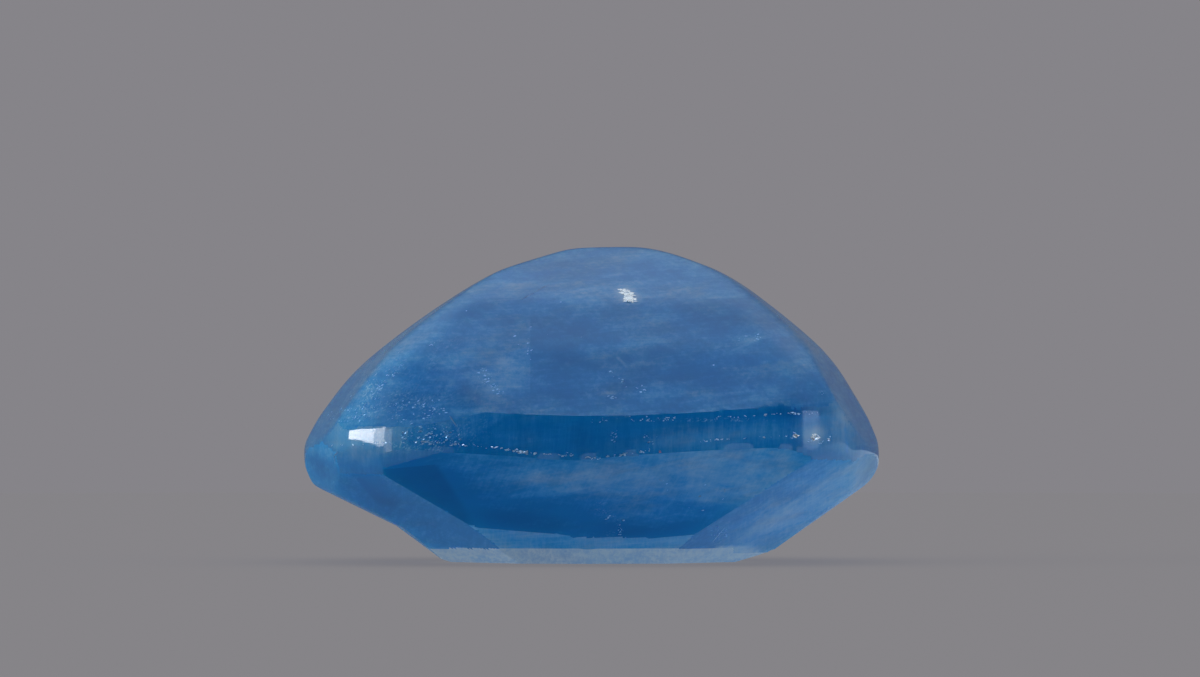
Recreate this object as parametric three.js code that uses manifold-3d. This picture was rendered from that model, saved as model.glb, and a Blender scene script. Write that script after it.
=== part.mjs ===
// A blue sapphire, cut by hand as a cushion with stepped facets. It lies on its table, the large
// flat facet, so the crown is underneath and the deep, rounded pavilion is on top.
// Millimetres, +Z up, +X along the stone, -Y towards the front. The origin is on the table plane,
// under the middle of the stone.
import * as THREE from 'three';
import { mergeVertices } from 'three/addons/utils/BufferGeometryUtils.js';
import Module from 'manifold-3d';

// Overall size of the stone
const length = 12;
const width = 9.6;
const height = 6.62;

// Girdle outline seen from above: nearly straight sides, bowed ends and rounded corners
const sideRadius = 60;
const endRadius = 9;
const cornerRadius = 1.9;
const arcSteps = 12;

// A cutting block is a box far larger than the stone
const blockSize = 60;

// The facet chart. A facet is given as a cutter sets it: the azimuth it faces, in degrees from the
// front towards the right, its slope from the horizontal, and one point of it, as the reach out
// from the stone's axis along that azimuth and the height above the table.
// Crown facets lie under the girdle and face down.
const crownMain = [
  { azimuth: -5.5, slope: 45, reach: 4.81, height: 2.17 },
  { azimuth: -2.5, slope: 45, reach: 4.8, height: 2.18 },
  { azimuth: 0.5, slope: 45, reach: 4.785, height: 2.18 },
  { azimuth: 3, slope: 45, reach: 4.765, height: 2.18 },
  { azimuth: 5.5, slope: 45, reach: 4.745, height: 2.17 },
];
const crownCorners = [
  { azimuth: -50, slope: 28.7, reach: 6.16, height: 2 },
  { azimuth: 50, slope: 29.9, reach: 6.64, height: 2.4 },
];
const crownEnds = [{ azimuth: 84, slope: 34.8, reach: 5.7, height: 1.586 }];
const crownBreaks = [
  { azimuth: -8, slope: 50, reach: 5.16, height: 2.42 },
  { azimuth: -28, slope: 53, reach: 5.86, height: 2 },
  { azimuth: -39, slope: 54, reach: 5.98, height: 1.96 },
  { azimuth: -50, slope: 52, reach: 5.94, height: 1.88 },
  { azimuth: -76, slope: 66, reach: 5.93, height: 2.2 },
  { azimuth: 52, slope: 58, reach: 6.46, height: 2.5 },
  { azimuth: 78, slope: 60, reach: 5.93, height: 2.05 },
];
const crownSecondStep = [
  { azimuth: -24, slope: 31, reach: 3.6, height: 0.6 },
  { azimuth: -8, slope: 33, reach: 3.14, height: 0.54 },
  { azimuth: 0, slope: 33, reach: 3.13, height: 0.54 },
  { azimuth: 8, slope: 33, reach: 3.12, height: 0.54 },
  { azimuth: 24, slope: 31, reach: 3.7, height: 0.66 },
];
const tableBevel = [
  { azimuth: -8, slope: 20, reach: 2.84, height: 0.34 },
  { azimuth: 8, slope: 20, reach: 2.82, height: 0.34 },
  { azimuth: -50, slope: 20, reach: 3.12, height: 0.32 },
  { azimuth: 50, slope: 21, reach: 3.18, height: 0.34 },
  { azimuth: 84, slope: 24, reach: 3.76, height: 0.2 },
];
// The left end of the crown was ground twice, which left it slightly hollow: the stone keeps
// whatever lies inside either of these two facets.
const hollowEnd = [
  { azimuth: -84, slope: 25.6, reach: 5.53, height: 1.46 },
  { azimuth: -84, slope: 36.5, reach: 3.03, height: 0 },
];
// Pavilion facets lie above the girdle and face up.
const pavilionSides = [
  { azimuth: 0, slope: 60, reach: 4.8, height: 3.11 },
  { azimuth: 0, slope: 42, reach: 4.04, height: 4.47 },
  { azimuth: 1, slope: 25, reach: 2.93, height: 5.47 },
  { azimuth: -6, slope: 19.5, reach: 1.94, height: 5.95 },
  { azimuth: 0, slope: 7, reach: 0.5, height: 6.57 },
];
const pavilionBreaks = [
  { azimuth: -8, slope: 66, reach: 5.13, height: 2.93 },
  { azimuth: -20, slope: 68, reach: 5.71, height: 2.92 },
  { azimuth: -35, slope: 68, reach: 6.19, height: 2.91 },
  { azimuth: -51, slope: 66, reach: 6.38, height: 2.86 },
  { azimuth: 22, slope: 72, reach: 5.79, height: 3.32 },
  { azimuth: 38, slope: 70, reach: 6.26, height: 3.3 },
];
const pavilionCorners = [
  { azimuth: -47, slope: 49, reach: 6.5, height: 3.3 },
  { azimuth: -45, slope: 34, reach: 5.3, height: 4.53 },
  { azimuth: -45, slope: 21, reach: 3.87, height: 5.5 },
  { azimuth: 47, slope: 50, reach: 6.68, height: 3.32 },
  { azimuth: 47, slope: 36.5, reach: 5.52, height: 4.53 },
  { azimuth: 45, slope: 22, reach: 4.06, height: 5.59 },
];
const pavilionEnds = [
  { azimuth: 82, slope: 67, reach: 5.92, height: 2.59 },
  { azimuth: 82, slope: 59, reach: 5.61, height: 3.34 },
  { azimuth: 84, slope: 41, reach: 5.03, height: 4.34 },
  { azimuth: 86, slope: 32, reach: 3.57, height: 5.59 },
  { azimuth: 88, slope: 21, reach: 2.37, height: 6.22 },
  { azimuth: 90, slope: 12, reach: 1.3, height: 6.54 },
  { azimuth: -82, slope: 62, reach: 5.9, height: 2.59 },
  { azimuth: -82, slope: 53, reach: 5.48, height: 3.34 },
  { azimuth: -84, slope: 40.5, reach: 4.94, height: 4.09 },
  { azimuth: -86, slope: 36, reach: 3.69, height: 5.09 },
  { azimuth: -88, slope: 30, reach: 2.87, height: 5.59 },
  { azimuth: -90, slope: 17, reach: 1.97, height: 6.09 },
  { azimuth: -90, slope: 4, reach: 0.26, height: 6.6 },
];

const wasm = await Module();
wasm.setup();

// Turns a closed three.js geometry into a solid that can be cut
function toSolid(geometry) {
  geometry.deleteAttribute('normal');
  geometry.deleteAttribute('uv');
  const merged = mergeVertices(geometry, 1e-5);
  return new wasm.Manifold(new wasm.Mesh({
    numProp: 3,
    vertProperties: new Float32Array(merged.attributes.position.array),
    triVerts: new Uint32Array(merged.index.array),
  }));
}

// Turns a cut solid back into a three.js geometry
function toGeometry(solid) {
  const mesh = solid.getMesh();
  const geometry = new THREE.BufferGeometry();
  geometry.setAttribute('position', new THREE.BufferAttribute(mesh.vertProperties, 3));
  geometry.setIndex(new THREE.BufferAttribute(mesh.triVerts, 1));
  return geometry;
}

// Centre of the corner arc that touches a side arc and an end arc from inside: it lies where two
// circles cross, round the two arcs' centres, each with that arc's radius less the corner's
function cornerCentre(sideCentreY, endCentreX) {
  const fromSide = sideRadius - cornerRadius;
  const fromEnd = endRadius - cornerRadius;
  const apart = Math.hypot(endCentreX, sideCentreY);
  const along = (fromSide ** 2 - fromEnd ** 2 + apart ** 2) / (2 * apart);
  const off = Math.sqrt(fromSide ** 2 - along ** 2);
  const unitX = endCentreX / apart;
  const unitY = -sideCentreY / apart;
  return new THREE.Vector2(along * unitX + off * unitY, sideCentreY + along * unitY - off * unitX);
}

// The girdle outline: eight arcs, drawn round from the middle of the right end
function girdleOutline() {
  const sideCentreY = width / 2 - sideRadius;
  const endCentreX = length / 2 - endRadius;
  const corner = cornerCentre(sideCentreY, endCentreX);
  const endAngle = Math.atan2(corner.y, corner.x - endCentreX);
  const sideAngle = Math.atan2(corner.y - sideCentreY, corner.x);
  const shape = new THREE.Shape();
  shape.absarc(endCentreX, 0, endRadius, 0, endAngle);
  shape.absarc(corner.x, corner.y, cornerRadius, endAngle, sideAngle);
  shape.absarc(0, sideCentreY, sideRadius, sideAngle, Math.PI - sideAngle);
  shape.absarc(-corner.x, corner.y, cornerRadius, Math.PI - sideAngle, Math.PI - endAngle);
  shape.absarc(-endCentreX, 0, endRadius, Math.PI - endAngle, Math.PI + endAngle);
  shape.absarc(-corner.x, -corner.y, cornerRadius, Math.PI + endAngle, Math.PI + sideAngle);
  shape.absarc(0, -sideCentreY, sideRadius, Math.PI + sideAngle, 2 * Math.PI - sideAngle);
  shape.absarc(corner.x, -corner.y, cornerRadius, -sideAngle, -endAngle);
  shape.absarc(endCentreX, 0, endRadius, -endAngle, 0);
  return shape;
}

// The blank: the girdle outline carried straight up to the stone's full height
function blank() {
  const options = { depth: height, bevelEnabled: false, curveSegments: arcSteps };
  return toSolid(new THREE.ExtrudeGeometry(girdleOutline(), options));
}

// A block with one face on the facet's plane, covering all that the facet removes.
// facing is 1 for the pavilion and -1 for the crown.
function cuttingBlock(facet, facing) {
  const azimuth = THREE.MathUtils.degToRad(facet.azimuth);
  const slope = THREE.MathUtils.degToRad(facet.slope);
  const outward = new THREE.Vector3(Math.sin(azimuth), -Math.cos(azimuth), 0);
  const normal = outward.clone().multiplyScalar(Math.sin(slope));
  normal.z = facing * Math.cos(slope);
  const centre = outward.multiplyScalar(facet.reach);
  centre.z = facet.height;
  centre.addScaledVector(normal, blockSize / 2);
  const turn = new THREE.Quaternion().setFromUnitVectors(new THREE.Vector3(0, 0, 1), normal);
  const box = new THREE.BoxGeometry(blockSize, blockSize, blockSize);
  box.applyQuaternion(turn);
  box.translate(centre.x, centre.y, centre.z);
  return toSolid(box);
}

// The same facet on the far side of the stone
function farSide(facet) {
  return { ...facet, azimuth: 180 - facet.azimuth };
}

function cutFacets(stone, facets, facing) {
  let cut = stone;
  for (const facet of facets) {
    cut = cut.subtract(cuttingBlock(facet, facing));
    cut = cut.subtract(cuttingBlock(farSide(facet), facing));
  }
  return cut;
}

// Grinds the hollow end: only what lies outside both facets goes
function cutHollowEnd(stone) {
  const [outer, inner] = hollowEnd;
  let cut = stone;
  for (const side of [(facet) => facet, farSide]) {
    const block = cuttingBlock(side(outer), -1).intersect(cuttingBlock(side(inner), -1));
    cut = cut.subtract(block);
  }
  return cut;
}

function sapphireSolid() {
  let stone = blank();
  for (const facets of [crownMain, crownCorners, crownEnds, crownBreaks, crownSecondStep, tableBevel]) {
    stone = cutFacets(stone, facets, -1);
  }
  stone = cutHollowEnd(stone);
  for (const facets of [pavilionSides, pavilionBreaks, pavilionCorners, pavilionEnds]) {
    stone = cutFacets(stone, facets, 1);
  }
  return stone;
}

const sapphire = new THREE.Mesh(
  toGeometry(sapphireSolid()),
  new THREE.MeshStandardMaterial({ color: 0x3b6ca3, roughness: 0.15, metalness: 0 }),
);
sapphire.name = 'sapphire';

const model = new THREE.Group();
model.add(sapphire);
export default model;
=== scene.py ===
import math

import bmesh
import bpy
import numpy as np
from mathutils import Matrix, Vector
from mathutils.bvhtree import BVHTree


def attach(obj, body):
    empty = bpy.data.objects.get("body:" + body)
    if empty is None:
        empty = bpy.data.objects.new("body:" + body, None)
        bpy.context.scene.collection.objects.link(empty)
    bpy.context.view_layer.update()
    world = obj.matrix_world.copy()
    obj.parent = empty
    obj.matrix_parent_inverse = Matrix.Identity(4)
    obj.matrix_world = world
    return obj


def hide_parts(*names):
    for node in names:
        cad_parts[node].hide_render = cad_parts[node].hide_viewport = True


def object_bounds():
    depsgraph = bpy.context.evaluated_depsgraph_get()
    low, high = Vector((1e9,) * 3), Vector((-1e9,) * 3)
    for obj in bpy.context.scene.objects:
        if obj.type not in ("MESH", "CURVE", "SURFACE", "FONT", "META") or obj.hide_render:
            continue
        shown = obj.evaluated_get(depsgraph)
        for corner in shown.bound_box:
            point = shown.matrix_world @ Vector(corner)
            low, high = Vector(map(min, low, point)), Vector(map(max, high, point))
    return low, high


# The looks of a cut sapphire that lies on its table, the large flat facet. The scene is in metres, +Z up,
# with the side that the photograph shows towards -Y.

MM = 0.001

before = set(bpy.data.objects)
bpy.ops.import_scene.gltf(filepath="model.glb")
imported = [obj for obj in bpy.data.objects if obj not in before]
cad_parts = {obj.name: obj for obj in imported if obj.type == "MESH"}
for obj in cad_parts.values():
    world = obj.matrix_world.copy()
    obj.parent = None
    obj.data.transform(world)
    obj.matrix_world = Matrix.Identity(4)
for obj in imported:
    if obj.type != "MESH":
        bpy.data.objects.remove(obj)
cad_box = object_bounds()

# The photograph's frame and the stone's place in it, in its pixels
PHOTO_WIDTH = 1200
PHOTO_HEIGHT = 677
STONE_LEFT = 304
STONE_RIGHT = 879
STONE_BOTTOM = 562

# The camera's distance in metres, how far it looks down in degrees, and its film's width in millimetres
CAMERA_DISTANCE = 0.35
CAMERA_TILT = 0.4
FILM_WIDTH = 36

# The step of the net that is drawn over the stone, and how near an edge or a level line a point of it has
# to be to be moved onto it, in millimetres
NET_STEP = 0.068
EDGE_REACH = 0.66 * NET_STEP
LEVEL_REACH = 0.5 * NET_STEP
# The net's points are worked on in blocks of this many
BLOCK = 4096

# The heights from which and up to which the stone is frosted round its table, half the length of the
# frosting, and the height that the second step goes up to, in millimetres
FROST_FOOT = 0.01
FROST_TOP = 0.32
FROST_HALF_LENGTH = 2.95
STEP_TOP = 0.57

# How round the stone's edges are worn, in millimetres: everywhere, up the pavilion, up its corners, and at
# the stone's ends. The last three grow over these heights and distances from the middle.
LEAST_WEAR = 0.004
UPPER_WEAR = 0.03
CORNER_WEAR = 0.09
END_WEAR = 0.03
WEAR_HEIGHTS = (3.0, 5.5)
WEAR_REACHES = (2.5, 5.5)
# Edges with less wear than this are crisp
CRISP_WEAR = 0.01

# What counts as one facet of the CAD solid, in millimetres, square millimetres and degrees
MERGE_DISTANCE = 0.0005
SMALLEST_FACET = 0.002
FLAT_ANGLE = 0.3
HOLLOW_ANGLE = 2
# The most that the normal of one of the girdle's walls rises
WALL_RISE = 0.02
# A distance that takes a facet out of the reckoning, in millimetres
FAR_INSIDE = -9.0
# The least exponent that the soft maximum works out
LEAST_EXPONENT = -60
# Two facets that turn by less than this, as a sine, have no edge to be moved onto
LEAST_TURN = 0.12
# How many times the net's points are moved onto the surface, and those of a level line along it
SETTLING_ROUNDS = 4
LEVELLING_ROUNDS = 3
# The least that a facet's slope counts for when a point is moved level onto it, as a square
LEAST_LEVEL = 0.05

# The stone's materials go with its facets. Below the girdle the facets are told apart by their slope and
# by how far they turn from the front, in degrees.
PAVILION, GIRDLE, CROWN, STEP, END, FROSTED = range(6)
BEVEL_SLOPE = 25
CROWN_SLOPES = (44, 46)
CROWN_TURN = 8
BREAK_SLOPE = 48
BREAK_TURN = 60
STEP_SLOPE = 34
STEP_TURN = 30
# Faces of the net that meet at more than this many degrees have a sharp edge
SHARP_ANGLE = 14

# The crystal's own blue, and the blue-white of the silk in it, by how milky it is from 0 to 1
SILK_COLOURS = [(0.0, "#0089d6"), (0.12, "#1a95e1"), (0.25, "#46a8ec"), (0.5, "#86c1f5"), (1.0, "#d6ebfe")]
GREY_SILK_COLOURS = [(0.0, "#0085cf"), (0.12, "#2892d8"), (0.25, "#58a2dd"), (0.5, "#92bdea"),
                     (1.0, "#dcebfc")]
FLECK_WHITE = "#90ccff"
# The deeper blue that painted shade multiplies into the stone's colour where it looks darker
PAINTED_SHADE_BLUE = "#30bcc8"
PIT_BLUE = "#5f9bd2"

# Corundum's index of refraction, the colour that its body lets through, and how strongly it takes out the
# rest, per metre
CORUNDUM_IOR = 1.77
LET_THROUGH = (0.0, 0.86, 0.95, 1)
ABSORPTION = 1000.0
# How far light wanders in the silk, and the height of the polish's waves, in metres
GLOW_REACH = 5.0 * MM
WAVE_HEIGHT = 0.02 * MM
# The height of a polishing scratch, as a share of that of the waves
SCRATCH_SHARE = 0.012

# How many patches of an even noise fall in a millimetre
CLOUDS = 0.8
GRAINS = 10.0
CLUSTERS = 3.2
WAVES = 0.3
PIT_SPOTS = 6.0
# The parts of a noise's range over which each pattern comes in
CLOUD_SPAN = (0.25, 0.75)
BROKEN_SPAN = (0.3, 0.7)
STRAND_SPAN = (0.38, 0.72)
GREY_SPAN = (0.42, 0.68)
SPECK_SPAN = (0.5, 0.66)
CLUSTER_SPAN = (0.38, 0.6)
PIT_SPAN = (0.35, 0.7)
# How much a patch of silk is thinned and thickened by the clouds in it
BROKEN_SILK = (0.7, 1.3)
# Between its strands a fibrous silk is thinner by this share of its strength
THINNING = 0.45
# An oval patch is at its full strength within this share of its reach
OVAL_CORE = 0.15
# Each drawn-out noise is moved by its number times this, so that no two are alike
NOISE_SHIFT = (3.7, 1.3, 2.1)

# A chip or fleck is a lens. These are the points round its rim, its width as a share of its length, its
# thickness as a share of its width, how ragged its rim is, and how deep it is let in as a share of its
# thickness.
RIM = 7
LENS_WIDTHS = (0.25, 0.7)
LENS_THICKNESS = 0.35
RAGGED_RIM = 0.35
LET_IN = 0.2
# How far flecks point into or out of the picture
FLECK_TURN = 0.3
# The thickness of a polish line as a share of its width, and how ragged it is
LINE_THICKNESS = 0.4
RAGGED_LINE = 0.15

# The floor: its radius in metres, its spokes and rings, what it shows the camera, what it sends to the
# stone, and the part of its length, in metres, over which that grows from left to right
FLOOR_RADIUS = 0.09
FLOOR_SPOKES = 48
FLOOR_RINGS = 24
FLOOR_GREY = "#5e5a57"
FLOOR_SHOWN = 0.75
FLOOR_GLOW = (0.165, 0.215, 0.265, 1)
FLOOR_GLOW_SPAN = (-0.012, 0.015)
FLOOR_GLOW_STRENGTH = (0.6, 2.1)

# The tent round the stone: its colours, how far its top leans to the front, the rise over which it
# brightens, and the cone on the camera's side that is dark
BACKDROP = (0.238, 0.231, 0.250, 1)
TENT_LIGHT = (0.73, 0.775, 0.83, 1)
HORIZON_LIGHT = (0.125, 0.15, 0.20, 1)
CAMERA_SIDE = (0.01, 0.01, 0.01, 1)
TENT_LEAN = math.radians(5)
TENT_SPAN = (0.1, 0.95)
CAMERA_SIDE_RISE = 0.05
CAMERA_SIDE_SPAN = (math.cos(math.radians(70)), math.cos(math.radians(22)))

# The soft boxes beside the stone: their distance, their height, how far they reach below the table, and
# the height that they face, in metres
BOX_DISTANCE = 0.3
BOX_HEIGHT = 0.07
BOX_DIP = 0.005
BOX_AIM = 0.003

# Settings that many shader nodes share
SMOOTH = {"interpolation_type": "SMOOTHSTEP"}
ADD = {"operation": "ADD"}
MULTIPLY = {"operation": "MULTIPLY"}
DOT = {"operation": "DOT_PRODUCT"}
COLOURS = {"data_type": "RGBA"}
PLACED = {"vector_type": "TEXTURE"}


def linear(hex_colour):
    """An sRGB hex colour as the linear numbers that a shader takes."""
    parts = [int(hex_colour[i:i + 2], 16) / 255 for i in (1, 3, 5)]
    return tuple(p / 12.92 if p <= 0.04045 else ((p + 0.055) / 1.055) ** 2.4 for p in parts) + (1.0,)


def add_node(tree, kind, inputs=(), settings=None, output=0):
    """Adds one shader node. inputs holds the value of each socket, or the output that is linked to it, in
    order or by the socket's name or number. Returns the node's output of the given name or number."""
    node = tree.nodes.new("ShaderNode" + kind)
    for name, value in (settings or {}).items():
        setattr(node, name, value)
    for name, value in inputs.items() if isinstance(inputs, dict) else enumerate(inputs):
        if isinstance(value, bpy.types.NodeSocket):
            tree.links.new(value, node.inputs[name])
        else:
            node.inputs[name].default_value = value
    return node.outputs[output] if node.outputs else None


def new_material(name):
    material = bpy.data.materials.new(name)
    material.use_nodes = True
    material.node_tree.nodes.clear()
    return material


def in_millimetres(tree):
    """The place on a piece, in millimetres."""
    place = add_node(tree, "TexCoord", output="Object")
    return add_node(tree, "Mapping", {"Vector": place, "Scale": (1 / MM, 1 / MM, 1 / MM)})


def sum_of(tree, sockets):
    """Adds up a list of value sockets."""
    total = sockets[0]
    for socket in sockets[1:]:
        total = add_node(tree, "Math", [total, socket], ADD)
    return total


def colours_along(tree, amount, stops):
    """Carries a value through a row of colours: position from 0 to 1, and hex."""
    colour = add_node(tree, "ValToRGB", [amount])
    elements = colour.node.color_ramp.elements
    for element, (position, hex_colour) in zip(elements, (stops[0], stops[-1])):
        element.position = position
        element.color = linear(hex_colour)
    for position, hex_colour in stops[1:-1]:
        elements.new(position).color = linear(hex_colour)
    return colour


def streaks(tree, place, angle, length, thickness, number, detail=5.0):
    """Noise drawn out along a line that rises by angle in the front view; sizes in millimetres."""
    drawn = add_node(tree, "Mapping", {
        "Vector": place, "Location": [number * shift for shift in NOISE_SHIFT],
        "Rotation": (0, -math.radians(angle), 0), "Scale": (length, length, thickness)}, PLACED)
    return add_node(tree, "TexNoise", {
        "Vector": drawn, "Scale": 1.0, "Detail": detail, "Roughness": 0.6, "Distortion": 0.25})


def oval_mask(tree, place, patch):
    """One soft oval patch: its full strength at its middle, 0 past its rim."""
    x, y, z, long, deep, high, angle, strength = patch
    oval = add_node(tree, "Mapping", {
        "Vector": place, "Location": (x, y, z), "Rotation": (0, -math.radians(angle), 0),
        "Scale": (long, deep, high)}, PLACED)
    away = add_node(tree, "VectorMath", [oval], {"operation": "LENGTH"}, "Value")
    return add_node(tree, "MapRange", [away, OVAL_CORE, 1.0, strength, 0.0], SMOOTH)


def painted_far_facet_mask(tree, place, corners, strength):
    """A patch with straight sides, that paints light and shade in the shape of a facet of the far side as it
    shows through the stone. Each side is a soft step across it, and the steps are multiplied."""
    mask = None
    for (x, z, soft), (next_x, next_z, _) in zip(corners, corners[1:] + corners[:1]):
        long = math.hypot(next_x - x, next_z - z)
        inward = ((next_z - z) / long, 0, -(next_x - x) / long)
        depth = add_node(tree, "VectorMath", [place, inward], DOT, "Value")
        edge = inward[0] * x + inward[2] * z
        step = add_node(tree, "MapRange", [depth, edge - soft / 2, edge + soft / 2], SMOOTH)
        mask = step if mask is None else add_node(tree, "Math", [mask, step], MULTIPLY)
    return add_node(tree, "Math", [mask, strength], MULTIPLY)


def patch_masks(tree, place, patches):
    """The masks of a list of patches. A patch with straight sides is a pair, its corners and its strength,
    and an oval one is 8 numbers."""
    return [painted_far_facet_mask(tree, place, *patch) if len(patch) == 2 else oval_mask(tree, place, patch)
            for patch in patches]


def milkiness_and_painted_light(tree, place, haze, cloudy, grain, silk, fibres):
    """How milky the crystal is at each place, from 0 to 1, with the light and shade that some of its patches
    paint.
    """
    cloud = add_node(tree, "TexNoise", {
        "Vector": place, "Scale": CLOUDS, "Detail": 7.0, "Roughness": 0.62, "Distortion": 0.5})
    fine = add_node(tree, "TexNoise", {"Vector": place, "Scale": GRAINS, "Detail": 4.0, "Roughness": 0.75})
    broken = add_node(tree, "MapRange", [cloud, *BROKEN_SPAN, *BROKEN_SILK], SMOOTH)
    milk = [add_node(tree, "MapRange", [cloud, *CLOUD_SPAN, haze - cloudy, haze + cloudy], SMOOTH),
            add_node(tree, "MapRange", [fine, *CLOUD_SPAN, -grain / 2, grain / 2], SMOOTH)]
    for mask in patch_masks(tree, place, silk):
        milk.append(add_node(tree, "Math", [mask, broken], MULTIPLY))
    for number, (angle, length, thickness, strength) in enumerate(fibres):
        strand = streaks(tree, place, angle, length, thickness, number)
        span = [*STRAND_SPAN, -THINNING * strength, strength]
        milk.append(add_node(tree, "MapRange", [strand, *span], SMOOTH))
    return add_node(tree, "Clamp", [sum_of(tree, milk)])


def silk_colour(tree, place, amount):
    """The crystal's blue, whiter where it is milkier, and greyer in some streaks."""
    tint = streaks(tree, place, angle=10, length=1.4, thickness=0.4, number=6, detail=3.0)
    return add_node(tree, "Mix", {
        0: add_node(tree, "MapRange", [tint, *GREY_SPAN], SMOOTH),
        6: colours_along(tree, amount, SILK_COLOURS),
        7: colours_along(tree, amount, GREY_SILK_COLOURS)}, COLOURS, 2)


def with_flecks(tree, place, colour, flecks):
    """Lays clusters of crisp white specks over the colour, in the patches."""
    specks = streaks(tree, place, angle=38, length=0.06, thickness=0.035, number=4, detail=3.0)
    specks = add_node(tree, "MapRange", [specks, *SPECK_SPAN], SMOOTH)
    clusters = add_node(tree, "TexNoise", {
        "Vector": place, "Scale": CLUSTERS, "Detail": 4.0, "Roughness": 0.7})
    clusters = add_node(tree, "MapRange", [clusters, *CLUSTER_SPAN], SMOOTH)
    crisp = add_node(tree, "Math", [specks, clusters], MULTIPLY)
    shown = add_node(tree, "Math", [crisp, sum_of(tree, patch_masks(tree, place, flecks))], MULTIPLY)
    shown = add_node(tree, "Clamp", [shown])
    return add_node(tree, "Mix", {0: shown, 6: colour, 7: linear(FLECK_WHITE)}, COLOURS, 2)


def with_painted_shade(tree, place, colour, shade_patches):
    """Paints shade: deepens the colour in the patches, where the stone looks darker."""
    deep = add_node(tree, "Clamp", [sum_of(tree, patch_masks(tree, place, shade_patches))])
    return add_node(tree, "Mix", {0: deep, 6: colour, 7: linear(PAINTED_SHADE_BLUE)},
                    {"data_type": "RGBA", "blend_type": "MULTIPLY"}, 2)


def polished_normal(tree, place):
    """The normal of a facet that was polished by hand: slightly wavy, with fine scratches."""
    wave = add_node(tree, "TexNoise", {"Vector": place, "Scale": WAVES, "Detail": 0.0})
    scratch = streaks(tree, place, angle=12, length=3.0, thickness=0.05, number=9, detail=2.0)
    scratch = add_node(tree, "Math", [scratch, SCRATCH_SHARE], MULTIPLY)
    return add_node(tree, "Bump", {
        "Height": add_node(tree, "Math", [wave, scratch], ADD), "Strength": 1.0, "Distance": WAVE_HEIGHT})


def sapphire_material(name, haze=0.0, cloudy=0.0, grain=0.1, silk=(), fibres=(), flecks=(), shade_patches=(),
                      worn=(), rough=0.1, clear=0.3, gloss=0.5, glow=0.6):
    """Corundum with silk: a saturated blue body that swallows red light, milky where needles of rutile
    scatter the light. haze is the even milkiness, cloudy and grain are how uneven it is at large and close
    up, silk is patches of it, some of which paint light, and fibres are drawn-out streaks. flecks are patches
    of crisp white specks, shade_patches are patches of painted shade, a deeper colour where the stone looks
    darker, and worn ones of dull polish."""
    material = new_material(name)
    tree = material.node_tree
    place = in_millimetres(tree)
    colour = silk_colour(tree, place, milkiness_and_painted_light(tree, place, haze, cloudy, grain, silk, fibres))
    if flecks:
        colour = with_flecks(tree, place, colour, flecks)
    # Painted shade: the colour is deepened in patches where the stone looks darker
    if shade_patches:
        colour = with_painted_shade(tree, place, colour, shade_patches)
    if worn:
        rough = add_node(tree, "Math", [sum_of(tree, patch_masks(tree, place, worn)), rough], ADD)
    shader = add_node(tree, "BsdfPrincipled", {
        "Base Color": colour, "Normal": polished_normal(tree, place), "Roughness": rough,
        "IOR": CORUNDUM_IOR, "Transmission Weight": clear, "Specular IOR Level": gloss,
        "Subsurface Weight": glow, "Subsurface Radius": (1.0, 1.0, 1.0), "Subsurface Scale": GLOW_REACH})
    absorb = add_node(tree, "VolumeAbsorption", {"Color": LET_THROUGH, "Density": ABSORPTION})
    add_node(tree, "OutputMaterial", {"Surface": shader, "Volume": absorb})
    return material
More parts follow.
